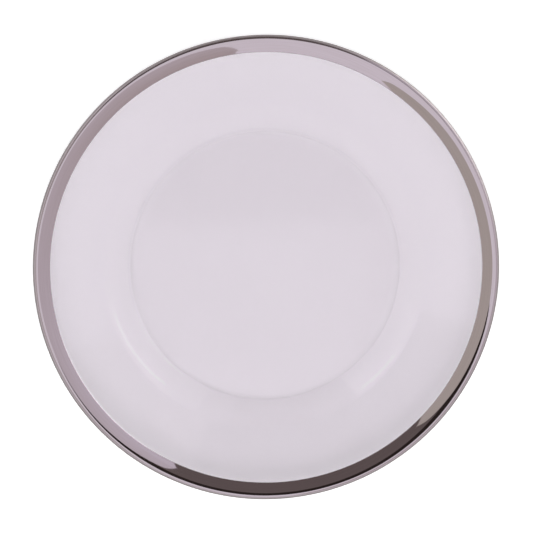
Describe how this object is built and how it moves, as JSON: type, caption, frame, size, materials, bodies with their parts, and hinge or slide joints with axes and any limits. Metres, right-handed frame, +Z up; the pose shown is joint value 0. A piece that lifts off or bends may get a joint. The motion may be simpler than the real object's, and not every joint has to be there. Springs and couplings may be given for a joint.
{
  "type": "glass dinner plate",
  "caption": "Round clear glass dinner plate with a flat well, a flared rim and a mirror-bright metal band wrapped round its lip, for serving food on a table.",
  "frame": {"origin": "centre of the flat ring under the base, on the plane that the plate stands on", "axes": "+Z up along the plate's axis of turning; X and Y are alike, because the plate is round"},
  "size_m": [0.28, 0.28, 0.021],
  "materials": {
    "clear_glass": "fire-polished clear pressed glass with a faint lilac cast",
    "platinum_film": "mirror-bright fired metal film, warm grey, brushed on in a turning band"
  },
  "bodies": {
    "root": {"glass_plate": "clear_glass", "metal_band": "platinum_film"}
  },
  "joints": []
}
